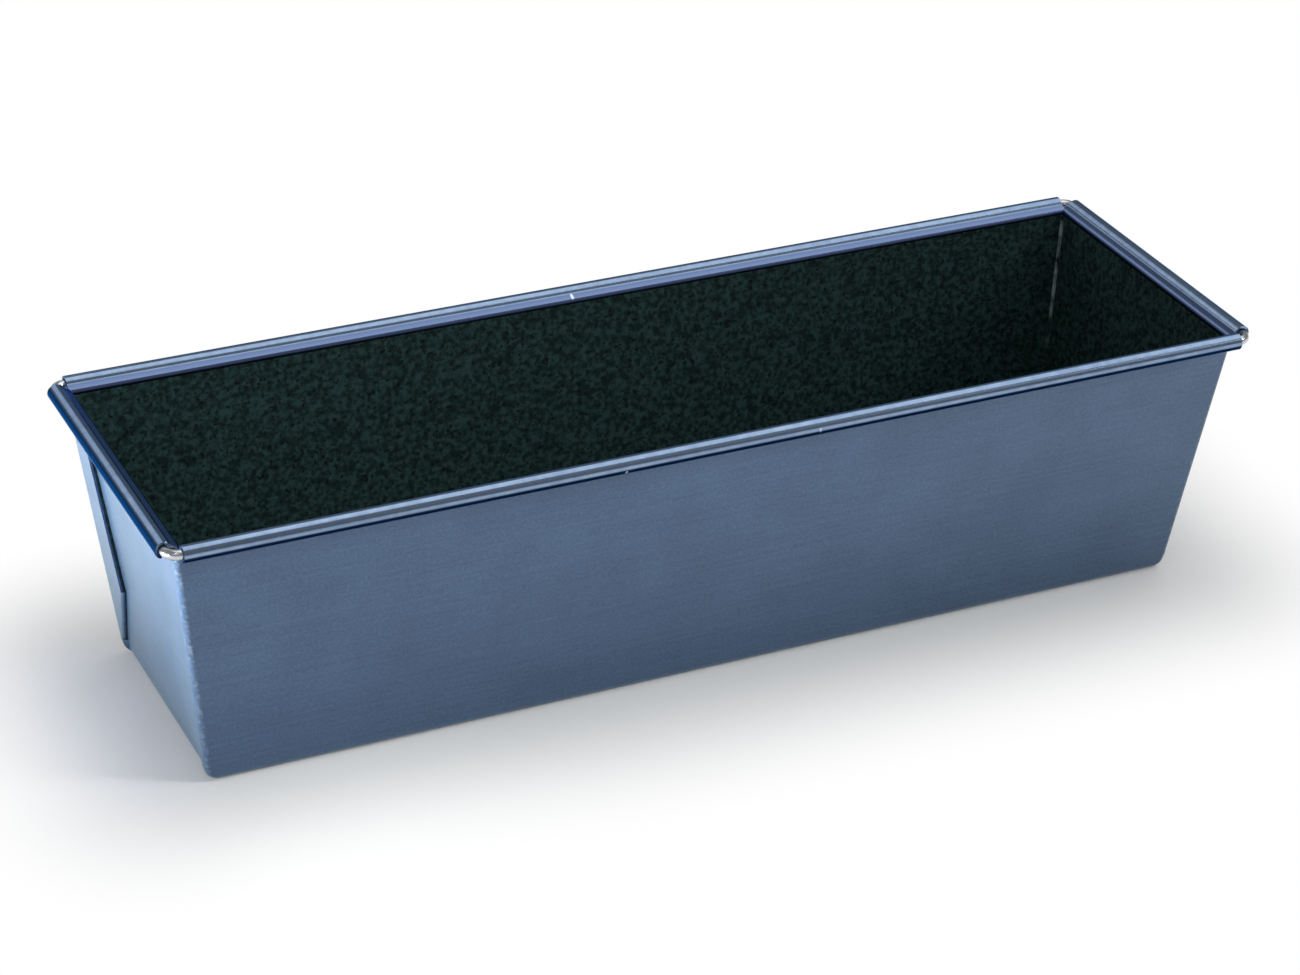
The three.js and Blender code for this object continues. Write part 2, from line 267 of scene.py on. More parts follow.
shader = add_node(tree, "ShaderNodeBsdfPrincipled", {
    "Base Color": colour.outputs[2], "Roughness": gloss.outputs[0], "Normal": peel.outputs[0],
    "Metallic": 0.3, "Specular Tint": linear("#b4d8ea"),
    "Coat Weight": 0.8, "Coat Roughness": 0.35, "Coat IOR": 1.6,
    "Sheen Weight": 0.45, "Sheen Roughness": 0.5, "Sheen Tint": linear("#c4eeee"),
})
add_node(tree, "ShaderNodeOutputMaterial", {"Surface": shader.outputs[0]})
print("material:", enamel.name, len(tree.nodes), "nodes")

# %% [markdown]
# ## Speckled non-stick coating on the inside
# Inside, a dark green-black coating is sprayed on and baked. It dries cloudy, with fine darker pits, so two
# sizes of noise draw it: soft clouds in the colour, and small ragged pits that also dent the surface. At the
# shoulder of the rim it ends in a soft spray edge that leaves a thin navy mist, drawn by a height mask with a
# little noise. Along the upright inner corners a pale broken line is painted highlight standing in for the
# glint of the bend, fading out lower down, and the middles of a few wide Voronoi cells make rare pale
# pin-head dots.

# %% Speckled dark non-stick coating
# Gives the eye a deep green-black, cloudy and finely pitted, flatter than the enamel
COAT_TOP = SHOULDER_LEVEL + 0.1 * MM
nonstick, tree = new_material("speckled_green_black_nonstick")
place = add_node(tree, "ShaderNodeTexCoord").outputs["Object"]
# The clouds are about half a millimetre wide on the real coat and are drawn at 1.6 mm to show
clouds = add_node(tree, "ShaderNodeTexNoise", {"Vector": place, "Scale": 1 / (1.6 * MM), "Detail": 4.0})
depth = add_node(tree, "ShaderNodeMapRange", {
    "Value": clouds.outputs[0], "From Min": 0.38, "From Max": 0.62,
})
colour = add_node(tree, "ShaderNodeMix", {
    0: depth.outputs[0], 6: linear("#162a29"), 7: linear("#324f4e"),
}, data_type="RGBA")
# The pits are about 0.2 mm across on the real coat and are drawn at about 1 mm to show
pits = add_node(tree, "ShaderNodeTexNoise", {"Vector": place, "Scale": 1 / (1.0 * MM), "Detail": 2.0})
dots = add_node(tree, "ShaderNodeMapRange", {
    "Value": pits.outputs[0], "From Min": 0.55, "From Max": 0.68,
})
colour = add_node(tree, "ShaderNodeMix", {
    0: dots.outputs[0], 6: colour.outputs[2], 7: linear("#091211"),
}, data_type="RGBA")
height = add_node(tree, "ShaderNodeSeparateXYZ", {"Vector": place}).outputs["Z"]
mist = add_node(tree, "ShaderNodeMath", {
    0: clouds.outputs[0], 1: 1.0 * MM, 2: height,
}, operation="MULTIPLY_ADD")
edge = add_node(tree, "ShaderNodeMapRange", {
    "Value": mist.outputs[0], "From Min": COAT_TOP, "From Max": COAT_TOP + 1.0 * MM,
})
colour = add_node(tree, "ShaderNodeMix", {
    0: edge.outputs[0], 6: colour.outputs[2], 7: linear("#2a3563"),
}, data_type="RGBA")
# Painted highlight: a pale broken line down the upright inner corners, fading out towards the floor, stands
# in for the glint of the bend
lean = add_node(tree, "ShaderNodeVectorMath", {0: (-LEAN, -LEAN, 0), "Scale": height}, operation="SCALE")
corner = add_node(tree, "ShaderNodeVectorMath", {0: place}, operation="ABSOLUTE")
corner = add_node(tree, "ShaderNodeVectorMath", {0: corner.outputs[0], 1: lean.outputs[0]}, operation="ADD")
corner = add_node(tree, "ShaderNodeVectorMath", {
    0: corner.outputs[0], 1: (wall_x(0) - 0.8 * MM, wall_y(0) - 1.5 * MM, 0),
}, operation="SUBTRACT")
corner = add_node(tree, "ShaderNodeSeparateXYZ", {0: corner.outputs[0]})
corner = add_node(tree, "ShaderNodeMath", {
    0: corner.outputs["X"], 1: corner.outputs["Y"],
}, operation="MINIMUM")
streak = add_node(tree, "ShaderNodeMapRange", {
    "Value": corner.outputs[0], "From Min": 0, "From Max": 0.3 * MM,
})
high_up = add_node(tree, "ShaderNodeMapRange", {
    "Value": height, "From Min": 25 * MM, "From Max": 55 * MM,
})
dashes = add_node(tree, "ShaderNodeTexNoise", {"Vector": place, "Scale": 1 / (5 * MM), "Detail": 3.0})
dashes = add_node(tree, "ShaderNodeMapRange", {
    "Value": dashes.outputs[0], "From Min": 0.42, "From Max": 0.6,
})
painted_glint_line = add_node(tree, "ShaderNodeMath", {0: streak.outputs[0], 1: dashes.outputs[0]}, operation="MULTIPLY")
painted_glint_line = add_node(tree, "ShaderNodeMath", {0: painted_glint_line.outputs[0], 1: high_up.outputs[0]}, operation="MULTIPLY")
colour = add_node(tree, "ShaderNodeMix", {
    0: painted_glint_line.outputs[0], 6: colour.outputs[2], 7: linear("#c4d2d6"),
}, data_type="RGBA")
# Rare pale pin-head dots at the middles of wide Voronoi cells
pale_dots = add_node(tree, "ShaderNodeTexVoronoi", {"Vector": place, "Scale": 1 / (26 * MM)})
pale_dots = add_node(tree, "ShaderNodeMapRange", {
    "Value": pale_dots.outputs["Distance"], "From Min": 0.026, "From Max": 0.014,
})
colour = add_node(tree, "ShaderNodeMix", {
    0: pale_dots.outputs[0], 6: colour.outputs[2], 7: linear("#a9b8ba"),
}, data_type="RGBA")
dull = add_node(tree, "ShaderNodeMapRange", {
    "Value": clouds.outputs[0], "From Min": 0.3, "From Max": 0.7, "To Min": 0.5, "To Max": 0.62,
})
pimples = add_node(tree, "ShaderNodeBump", {
    "Strength": 0.4, "Distance": 0.08 * MM, "Height": dots.outputs[0],
})
shader = add_node(tree, "ShaderNodeBsdfPrincipled", {
    "Base Color": colour.outputs[2], "Roughness": dull.outputs[0], "Normal": pimples.outputs[0],
    "IOR": 1.4, "Specular IOR Level": 0.3,
})
add_node(tree, "ShaderNodeOutputMaterial", {"Surface": shader.outputs[0]})
print("material:", nonstick.name, len(tree.nodes), "nodes")

# %% [markdown]
# ## Burnished enamel on the rim
# The wiring rolls press on the rim while it is curled, so its enamel is closed up and shines like metal, with
# fine lines along the bead. Distance masks do the rest: the inner slope turns a darker blue-grey in steps
# towards the inside, the underside of the bead is darkened as painted shadow, the outer sides of the end
# beads are darkened as a painted reflection of a dark surround, and short pale marks near where the ends of
# the wires butt inside the curl, and one more on the near bead, are painted glints. The enamel keeps its blue
# where it is seen edge on, which the Specular Tint of a metal gives.

# %% Roller-burnished enamel
# Gives the eye long smooth light bands on the beads, broken a little by rolling lines
WIRE_JOINTS = {"near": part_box("rim_wire_left")[1].x, "far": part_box("rim_wire_right")[0].x}
rim_enamel, tree = new_material("roller_burnished_enamel")
place = add_node(tree, "ShaderNodeTexCoord").outputs["Object"]
# The lines of the rolls are finer than a pixel, so they are drawn 0.8 mm apart to show
drawn = add_node(tree, "ShaderNodeMapping", {
    "Vector": place, "Scale": (1 / (40 * MM), 1 / (40 * MM), 1 / (0.8 * MM)),
})
lines = add_node(tree, "ShaderNodeTexNoise", {"Vector": drawn.outputs[0], "Scale": 1.0, "Detail": 4.0})
rubs = add_node(tree, "ShaderNodeTexNoise", {"Vector": place, "Scale": 1 / (3 * MM), "Detail": 2.0})
tone = add_node(tree, "ShaderNodeMix", {0: 0.5, 2: lines.outputs[0], 3: rubs.outputs[0]})
spread = add_node(tree, "ShaderNodeMapRange", {
    "Value": tone.outputs[0], "From Min": 0.38, "From Max": 0.62,
})
colour = add_node(tree, "ShaderNodeMix", {
    0: spread.outputs[0], 6: linear("#7b8fac"), 7: linear("#8ba1bd"),
}, data_type="RGBA")
inward = add_node(tree, "ShaderNodeVectorMath", {0: place}, operation="ABSOLUTE")
inward = add_node(tree, "ShaderNodeVectorMath", {
    0: (AXIS_X, AXIS_Y, 0), 1: inward.outputs[0],
}, operation="SUBTRACT")
inward = add_node(tree, "ShaderNodeSeparateXYZ", {0: inward.outputs[0]})
inward = add_node(tree, "ShaderNodeMath", {
    0: inward.outputs["X"], 1: inward.outputs["Y"],
}, operation="MINIMUM")
outside = add_node(tree, "ShaderNodeMath", {0: inward.outputs[0], 1: 0.0}, operation="LESS_THAN")
# The inner slope turns a darker blue-grey in steps towards the inside
inner_slope_tones = [
    (BEAD_RADIUS - 0.3 * MM, BEAD_RADIUS + 0.2 * MM, "#5f7193"),
    (WALL_INSET - 1.0 * MM, WALL_INSET - 0.2 * MM, "#687aa0"),
    (WALL_INSET, WALL_INSET + 0.6 * MM, "#4d5c86"),
]
for begin, full, slope_tone_colour in inner_slope_tones:
    slope_tone_mask = add_node(tree, "ShaderNodeMapRange", {
        "Value": inward.outputs[0], "From Min": begin, "From Max": full,
    })
    colour = add_node(tree, "ShaderNodeMix", {
        0: slope_tone_mask.outputs[0], 6: colour.outputs[2], 7: linear(slope_tone_colour),
    }, data_type="RGBA")
# Painted shadow: the lower outside of each bead is darkened, standing in for the shade of the slot under the
# rim
lip_shadow = add_node(tree, "ShaderNodeMapRange", {
    "Value": add_node(tree, "ShaderNodeSeparateXYZ", {"Vector": place}).outputs["Z"],
    "From Min": AXIS_Z - 0.1 * MM, "From Max": AXIS_Z - 0.5 * MM,
})
lip_shadow = add_node(tree, "ShaderNodeMath", {0: lip_shadow.outputs[0], 1: outside.outputs[0]}, operation="MULTIPLY")
colour = add_node(tree, "ShaderNodeMix", {
    0: lip_shadow.outputs[0], 6: colour.outputs[2], 7: linear("#172238"),
}, data_type="RGBA")
# Painted reflection: the outer sides of the end beads are deep blue, standing in for the dark surround that
# they mirror
dark_flank_reflection = add_node(tree, "ShaderNodeVectorMath", {0: place}, operation="ABSOLUTE")
dark_flank_reflection = add_node(tree, "ShaderNodeSeparateXYZ", {0: dark_flank_reflection.outputs[0]})
dark_flank_reflection = add_node(tree, "ShaderNodeMapRange", {
    "Value": dark_flank_reflection.outputs["X"], "From Min": AXIS_X + 1.25 * MM, "From Max": AXIS_X + 1.8 * MM,
})
colour = add_node(tree, "ShaderNodeMix", {
    0: dark_flank_reflection.outputs[0], 6: colour.outputs[2], 7: linear("#2b4a7a"),
}, data_type="RGBA")
# Painted glints: short pale marks near the wire joints and one on the near bead
GLINT_SIZE = (0.5 * MM, 1.3 * MM, 1.0 * MM)
painted_glints = [
    (WIRE_JOINTS["near"], -AXIS_Y - 1.3 * MM, 0),
    (WIRE_JOINTS["far"] + 1.5 * MM, AXIS_Y - 3.1 * MM, 0.4 * MM),
    (-32 * MM, -AXIS_Y - 1.3 * MM, -1.2 * MM),
]
for x, y, z in painted_glints:
    glint_mask = add_node(tree, "ShaderNodeVectorMath", {0: place, 1: (x, y, AXIS_Z + z)}, operation="SUBTRACT")
    glint_mask = add_node(tree, "ShaderNodeVectorMath", {0: glint_mask.outputs[0], 1: GLINT_SIZE}, operation="DIVIDE")
    glint_mask = add_node(tree, "ShaderNodeVectorMath", {0: glint_mask.outputs[0]}, operation="LENGTH")
    glint_mask = add_node(tree, "ShaderNodeMapRange", {
        "Value": glint_mask.outputs["Value"], "From Min": 1.0, "From Max": 0.6,
    })
    colour = add_node(tree, "ShaderNodeMix", {
        0: glint_mask.outputs[0], 6: colour.outputs[2], 7: linear("#c8d2ea"),
    }, data_type="RGBA")
gloss = add_node(tree, "ShaderNodeMapRange", {
    "Value": tone.outputs[0], "From Min": 0.35, "From Max": 0.65, "To Min": 0.24, "To Max": 0.18,
})
waves = add_node(tree, "ShaderNodeBump", {
    "Strength": 0.1, "Distance": 0.03 * MM, "Height": tone.outputs[0],
})
shader = add_node(tree, "ShaderNodeBsdfPrincipled", {
    "Base Color": colour.outputs[2], "Roughness": gloss.outputs[0], "Normal": waves.outputs[0],
    "Metallic": 1.0, "Specular Tint": linear("#9db4d6"),
})
add_node(tree, "ShaderNodeOutputMaterial", {"Surface": shader.outputs[0]})
print("material:", rim_enamel.name, len(tree.nodes), "nodes")

# %% [markdown]
# ## Bright drawn wire
# The wire is pulled through a die, which leaves it bright with hair-fine lines. It is bare metal, so it is
# fully metallic and keeps the default index of refraction.

# %% Bright drawn steel
# Gives the eye small hard glints at the corners of the rim, where the wire lies open
bright_wire, tree = new_material("bright_drawn_steel")
place = add_node(tree, "ShaderNodeTexCoord").outputs["Object"]
# The hairs of the die are far finer and are drawn at 1.2 mm to show
hairs = add_node(tree, "ShaderNodeTexNoise", {"Vector": place, "Scale": 1 / (1.2 * MM), "Detail": 3.0})
colour = add_node(tree, "ShaderNodeMix", {
    0: hairs.outputs[0], 6: linear("#b2b7bd"), 7: linear("#d6dade"),
}, data_type="RGBA")
gloss = add_node(tree, "ShaderNodeMapRange", {"Value": hairs.outputs[0], "To Min": 0.2, "To Max": 0.3})
shader = add_node(tree, "ShaderNodeBsdfPrincipled", {
    "Base Color": colour.outputs[2], "Roughness": gloss.outputs[0], "Metallic": 1.0,
})
add_node(tree, "ShaderNodeOutputMaterial", {"Surface": shader.outputs[0]})
print("material:", bright_wire.name, len(tree.nodes), "nodes")

# %% [markdown]
# ## The folded corners
# Each corner is folded like paper: the end wall turns back on itself in a hem, the spare sheet runs back as
# an under layer, turns at a crease and runs forward again as the flap that is seen, and then wraps the hem
# into the long wall. Low down the crease still joins the two layers. Above it the spare sheet is trimmed
# away, so the flap has a cut upright edge. Booleans could cut that edge, but leaving out one strip of faces
# in a lofted loop gives a cleaner mesh. Every level of the loop has the same number of marks.

# %% Sizes of the folds
LAYER_GAP = 0.1 * MM
LEVEL_SHEET = SHEET / cos(WALL_FLARE)
LEVEL_PITCH = (SHEET + LAYER_GAP) / cos(WALL_FLARE)
FOLD_BEND = LEVEL_PITCH / 2
CORNER_BEND = LEVEL_PITCH + FOLD_BEND
FLAP_PROUD = 2 * LEVEL_PITCH
CREASE_HEIGHT = 24 * MM
FLAP_FOOT_WIDTH = 15.9 * MM
FLAP_TOP_WIDTH = 11.2 * MM
TOE_LAYER = 0.4 * MM


def trim_width(z):
    return FLAP_FOOT_WIDTH + (FLAP_TOP_WIDTH - FLAP_FOOT_WIDTH) * z / AXIS_Z


CREASE_SLOPE = trim_width(CREASE_HEIGHT) / CREASE_HEIGHT
TOE_HEIGHT = (FLAP_PROUD + LEVEL_SHEET + TOE_LAYER) / CREASE_SLOPE
print(f"flap {trim_width(CREASE_HEIGHT) / MM:.1f} mm wide at the crease, toe {TOE_HEIGHT / MM:.2f} mm high")

# %% One quarter of the folded wall at a height
def folded_quarter(z, trimmed):
    width = trim_width(z) if trimmed else CREASE_SLOPE * z
    layer = width - FLAP_PROUD - LEVEL_SHEET
    over_x = wall_x(z) + FLAP_PROUD
    marks = bend_line((wall_x(z), 0), RIGHT_ANGLE, [
        {"run": wall_y(z) - CORNER_BEND},
        {"turn": -pi, "radius": FOLD_BEND, "tag": "hem"},
        {"run": layer},
        {"turn": pi, "radius": FOLD_BEND, "tag": "crease"},
        {"run": layer},
        {"turn": RIGHT_ANGLE, "radius": CORNER_BEND, "tag": "corner"},
        {"run": over_x - CORNER_BEND},
    ])
    first = [m["tag"] for m in marks].index("crease") - 1
    crease = marks[first:first + 1 + sum(m["tag"] == "crease" for m in marks)]
    half = len(crease) // 2
    crease[half - 1]["tag"] = crease[half]["tag"] = "slit"
    if trimmed:
        start, end = crease[0]["point"].copy(), crease[-1]["point"].copy()
        for i in range(half):
            reach = Vector((0, -i / (half - 1) * (FOLD_BEND + LEVEL_SHEET / 2)))
            crease[i].update(point=start + reach, right=Vector((-1, 0)))
            crease[-1 - i].update(point=end + reach, right=Vector((1, 0)))
    return marks


print("marks in a quarter:", len(folded_quarter(CREASE_HEIGHT, False)), len(folded_quarter(FOLD_TOP, True)))

# %% Mirror the quarter all round
def mirrored(mark, sx, sy):
    point, right = mark["point"], mark["right"]
    return {"point": Vector((point.x * sx, point.y * sy)), "right": Vector((right.x * sx, right.y * sy)),
            "tag": mark["tag"]}


def all_round(quarter):
    back = quarter[::-1]
    sides = [(quarter, 1, 1), (back, -1, 1), (quarter, -1, -1), (back, 1, -1)]
    return [mirrored(mark, sx, sy) for marks, sx, sy in sides for mark in marks[1:]]


print("marks in a whole loop:", len(all_round(folded_quarter(FOLD_TOP, True))))

# %% [markdown]
# ## One mesh for the folded sheet
# Points and faces are gathered in plain lists, with the material of each face and a number for each point on
# the corner bends. The enamel draws a pale broken line there, partly abraded, because the bends are what
# knocks against other tins, and partly painted highlight.

# %% Gather points and faces
OUTSIDE, INSIDE = 0, 1
sheet = {"points": [], "faces": [], "finish": [], "wear_and_highlight": []}


def add_point(flat, z, wear_and_highlight=0.0):
    sheet["points"].append((flat.x, flat.y, z))
    sheet["wear_and_highlight"].append(wear_and_highlight)
    return len(sheet["points"]) - 1


def add_face(corners, finish):
    sheet["faces"].append(corners)
    sheet["finish"].append(finish)


print("ready for", len(sheet["points"]), "points")

# %% Loft the folded walls
SLIT_OPEN = 0.25 * MM
crease_levels = [TOE_HEIGHT, TOE_HEIGHT + SUPPORT, 10 * MM, 17 * MM, CREASE_HEIGHT - SUPPORT, CREASE_HEIGHT]
trim_levels = [CREASE_HEIGHT + SLIT_OPEN, 36 * MM, 48 * MM, 60 * MM, FOLD_TOP - SUPPORT, FOLD_TOP]
rings = []
for z in crease_levels + trim_levels:
    loop = all_round(folded_quarter(z, z in trim_levels))
    wear_and_highlight = [1.0 if m["tag"] == "corner" else 0.0 for m in loop]
    rings.append([[add_point(beside(m, side * LEVEL_SHEET / 2), z, w) for m, w in zip(loop, wear_and_highlight)]
                  for side in (1, -1)])
slits = [m["tag"] == "slit" for m in loop]
count = len(loop)
for j in range(count):
    k = (j + 1) % count
    slit = slits[j] and slits[k]
    for level in range(len(rings) - 1):
        (out, inn), (out_up, inn_up) = rings[level], rings[level + 1]
        if not slit or level < len(crease_levels) - 1:
            add_face((out[j], out[k], out_up[k], out_up[j]), OUTSIDE)
            add_face((inn[k], inn[j], inn_up[j], inn_up[k]), INSIDE)
            continue
        # Painted shade: the cut edge of the under layer takes the dark inside finish, so the gap beside the
        # flap reads as a dark line
        under = abs(loop[j]["point"].x) < abs(loop[k]["point"].x)
        add_face((out[j], inn[j], inn_up[j], out_up[j]), INSIDE if under else OUTSIDE)
        add_face((inn[k], out[k], out_up[k], inn_up[k]), OUTSIDE if under else INSIDE)
    out, inn = rings[0]
    add_face((out[k], out[j], inn[j], inn[k]), OUTSIDE)
    out, inn = rings[len(crease_levels) - 1 if slit else -1]
    add_face((out[j], out[k], inn[k], inn[j]), OUTSIDE)
print("folded walls:", len(sheet["points"]), "points,", len(sheet["faces"]), "faces")

# %% [markdown]
# ## The floor and the foot of the walls
# Below the folds the sheet is a plain shallow tub. Its walls turn into the floor round a bend, and beside
# each corner the ends swell out into a pressed toe, where the fold starts as a pinch in the sheet. Stacked
# rings do this well, because the ring at each height only needs its half sizes, corner radius and swelling.

# %% One ring of the tub
TOE_SLOPE = 0.5 * MM
CORNER_FACETS = 10


def tub_ring(half_x, half_y, corner, swell, width):
    edge = max(width, corner + TOE_SLOPE)
    flats = [(half_x, 0), (half_x, half_y - edge - TOE_SLOPE), (half_x + swell, half_y - edge),
             (half_x + swell, half_y - corner - SUPPORT)]
    middle = Vector((half_x + swell - corner, half_y - corner))
    turns = [RIGHT_ANGLE * i / CORNER_FACETS for i in range(CORNER_FACETS + 1)]
    arc = [middle + corner * Vector((cos(a), sin(a))) for a in turns]
    ends = [(middle.x - SUPPORT, half_y), (0, half_y)]
    quarter = [Vector(p) for p in flats] + arc + [Vector(p) for p in ends]
    marks = [{"point": p, "right": Vector((0, 0)), "tag": ""} for p in quarter]
    for mark in marks[len(flats):len(flats) + len(arc)]:
        mark["tag"] = "corner"
    return all_round(marks)


print("marks in a tub ring:", len(tub_ring(0.14, 0.04, 1 * MM, 1 * MM, 2 * MM)))

# %% Stack the rings of one face
BOTTOM_BEND = 2.5 * MM
LAP_SKIN = 0.015 * MM
TOE_START = 0.3 * MM
SHARPEST_CORNER = 0.2 * MM
TUB_TOP = TOE_HEIGHT + 0.5 * MM
bend_inset = BOTTOM_BEND * LEAN - BOTTOM_BEND / cos(WALL_FLARE) + LEVEL_SHEET / 2


def tub_face(radius, widest_corner, skin, proud):
    steps = ceil(WALL_HEADING / FACET_TURN)
    levels = []
    for i in range(steps + 1):
        angle = WALL_HEADING * i / steps
        levels.append((radius * sin(angle) + skin * i / steps, BOTTOM_BEND - radius * cos(angle)))
    reach, bend_end = levels[-1]
    levels += [(reach + (z - bend_end) * LEAN, z) for z in (bend_end + SUPPORT, TOE_HEIGHT, TUB_TOP)]
    rows = []
    for reach, z in levels:
        rise = min(max((z - TOE_START) / (TOE_HEIGHT - TOE_START), 0), 1)
        corner = min(reach + SHARPEST_CORNER, widest_corner)
        ring = tub_ring(wall_x(0) + bend_inset + reach, wall_y(0) + bend_inset + reach, corner,
                        proud * sin(rise * RIGHT_ANGLE), CREASE_SLOPE * z)
        rows.append([add_point(m["point"], z, 1.0 if m["tag"] == "corner" else 0.0) for m in ring])
    return rows


corner_outside = CORNER_BEND + LEVEL_SHEET / 2
outer_rows = tub_face(BOTTOM_BEND, corner_outside, LAP_SKIN, FLAP_PROUD - 2 * LAP_SKIN)
inner_rows = tub_face(BOTTOM_BEND - SHEET, corner_outside - LEVEL_SHEET, -LAP_SKIN, 0)
print("tub rings:", len(outer_rows), "outside and", len(inner_rows), "inside")

# %% Skin the tub
count = len(outer_rows[0])
for j in range(count):
    k = (j + 1) % count
    for low, high in zip(outer_rows, outer_rows[1:]):
        add_face((low[j], low[k], high[k], high[j]), OUTSIDE)
    for low, high in zip(inner_rows, inner_rows[1:]):
        add_face((low[k], low[j], high[j], high[k]), INSIDE)
    outer, inner = outer_rows[-1], inner_rows[-1]
    add_face((outer[j], outer[k], inner[k], inner[j]), INSIDE)
add_face(tuple(reversed(outer_rows[0])), OUTSIDE)
add_face(tuple(inner_rows[0]), INSIDE)
print("whole sheet:", len(sheet["points"]), "points,", len(sheet["faces"]), "faces")

# %% Make the folded sheet an object
SHARP_FOLD = radians(40)


def finish_mesh(mesh, sharp_angle):
    mesh.shade_smooth()
    mesh.set_sharp_from_angle(angle=sharp_angle)


mesh = bpy.data.meshes.new("folded_pan")
mesh.from_pydata(sheet["points"], [], sheet["faces"])
mesh.materials.append(enamel)
mesh.materials.append(nonstick)
mesh.polygons.foreach_set("material_index", sheet["finish"])
wear_and_highlight = mesh.attributes.new("corner_wear_and_highlight", "FLOAT", "POINT")
wear_and_highlight.data.foreach_set("value", sheet["wear_and_highlight"])
finish_mesh(mesh, SHARP_FOLD)
folded_pan = bpy.data.objects.new("folded_pan", mesh)
bpy.context.collection.objects.link(folded_pan)
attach(folded_pan, "root")
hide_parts("pan_sheet")
print("piece:", folded_pan.name, len(mesh.polygons), "faces")

# %% [markdown]
# ## The rolled rim
# The rim is one section run along four sides, which is just what Geometry Nodes are for: the section is
# drawn once as a loop of edges, and the tree sweeps it along a straight line and turns a copy of the run to
# the other side of the pan. The foot of the section is notched back at the corners to clear the folds, so
# the foot and the bead are swept as two runs of different length.

# %% Build the tree that sweeps a rim run
def new_tree(name, inputs):
    tree = bpy.data.node_groups.new(name, "GeometryNodeTree")
    tree.interface.new_socket("Geometry", in_out="INPUT", socket_type="NodeSocketGeometry")
    for label, kind in inputs.items():
        tree.interface.new_socket(label, in_out="INPUT", socket_type=kind)
    tree.interface.new_socket("Geometry", in_out="OUTPUT", socket_type="NodeSocketGeometry")
    return tree, add_node(tree, "NodeGroupInput").outputs


rim_tree, size = new_tree("rolled_rim_runs", {
    "Run Length": "NodeSocketFloat", "Axis Distance": "NodeSocketFloat", "Axis Height": "NodeSocketFloat",
    "Quarter Turns": "NodeSocketFloat", "Finish": "NodeSocketMaterial",
})
half = add_node(rim_tree, "ShaderNodeMath", {0: size["Run Length"], 1: 0.5}, operation="MULTIPLY")
back = add_node(rim_tree, "ShaderNodeMath", {0: size["Run Length"], 1: -0.5}, operation="MULTIPLY")
near = add_node(rim_tree, "ShaderNodeMath", {0: size["Axis Distance"], 1: -1.0}, operation="MULTIPLY")
start = add_node(rim_tree, "ShaderNodeCombineXYZ", {
    0: back.outputs[0], 1: near.outputs[0], 2: size["Axis Height"],
})
end = add_node(rim_tree, "ShaderNodeCombineXYZ", {
    0: half.outputs[0], 1: near.outputs[0], 2: size["Axis Height"],
})
path = add_node(rim_tree, "GeometryNodeCurvePrimitiveLine", {
    "Start": start.outputs[0], "End": end.outputs[0],
})
path = add_node(rim_tree, "GeometryNodeSetCurveNormal", {
    "Curve": path.outputs[0], "Normal": (0, 0, 1),
}, mode="FREE")
section = add_node(rim_tree, "GeometryNodeMeshToCurve", {"Mesh": size["Geometry"]})
run = add_node(rim_tree, "GeometryNodeCurveToMesh", {
    "Curve": path.outputs[0], "Profile Curve": section.outputs[0], "Fill Caps": True,
})
sides = add_node(rim_tree, "GeometryNodePoints", {"Count": 2})
number = add_node(rim_tree, "GeometryNodeInputIndex")
turn = add_node(rim_tree, "ShaderNodeMath", {
    0: number.outputs[0], 1: 2.0, 2: size["Quarter Turns"],
}, operation="MULTIPLY_ADD")
turn = add_node(rim_tree, "ShaderNodeMath", {0: turn.outputs[0], 1: RIGHT_ANGLE}, operation="MULTIPLY")
spin = add_node(rim_tree, "ShaderNodeCombineXYZ", {2: turn.outputs[0]})
pair = add_node(rim_tree, "GeometryNodeInstanceOnPoints", {
    "Points": sides.outputs[0], "Instance": run.outputs[0], "Rotation": spin.outputs[0],
})
whole = add_node(rim_tree, "GeometryNodeRealizeInstances", {"Geometry": pair.outputs[0]})
painted = add_node(rim_tree, "GeometryNodeSetMaterial", {
    "Geometry": whole.outputs[0], "Material": size["Finish"],
})
add_node(rim_tree, "NodeGroupOutput", {"Geometry": painted.outputs[0]})
print("tree:", rim_tree.name, len(rim_tree.nodes), "nodes")

# %% Run a tree and keep the plain mesh
def grow(tree, name, points, edges, values):
    host_mesh = bpy.data.meshes.new(name)
    host_mesh.from_pydata(points, edges, [])
    host = bpy.data.objects.new(name, host_mesh)
    bpy.context.collection.objects.link(host)
    modifier = host.modifiers.new(name, "NODES")
    modifier.node_group = tree
    for item in tree.interface.items_tree:
        if item.in_out == "INPUT" and item.name in values:
            modifier[item.identifier] = values[item.name]
    view = bpy.context.evaluated_depsgraph_get()
    mesh = bpy.data.meshes.new_from_object(host.evaluated_get(view))
    bpy.data.objects.remove(host)
    bpy.data.meshes.remove(host_mesh)
    return mesh


def rim_section(marks):
    half = [SHEET / 2 - (2 * LAP_SKIN if m is rim_line[0] else 0) for m in marks]
    outside = [beside(m, h) for m, h in zip(marks, half)]
    inside = [beside(m, -h) for m, h in zip(marks, half)]
    # The sweep lays a section's x upward and its y outward
    points = [(p.y, p.x, 0) for p in outside + inside[::-1]]
    return points, [(i, (i + 1) % len(points)) for i in range(len(points))]


print("corners of the whole section:", len(rim_section(rim_line)[0]))

# %% Close the seams of a swept mesh
MERGE_DISTANCE = 0.0005 * MM


def close_seams(shell):
    before = len(shell.verts)
    bmesh.ops.remove_doubles(shell, verts=shell.verts, dist=MERGE_DISTANCE)
    bmesh.ops.recalc_face_normals(shell, faces=shell.faces)
    print("seams:", before - len(shell.verts), "doubled points merged")


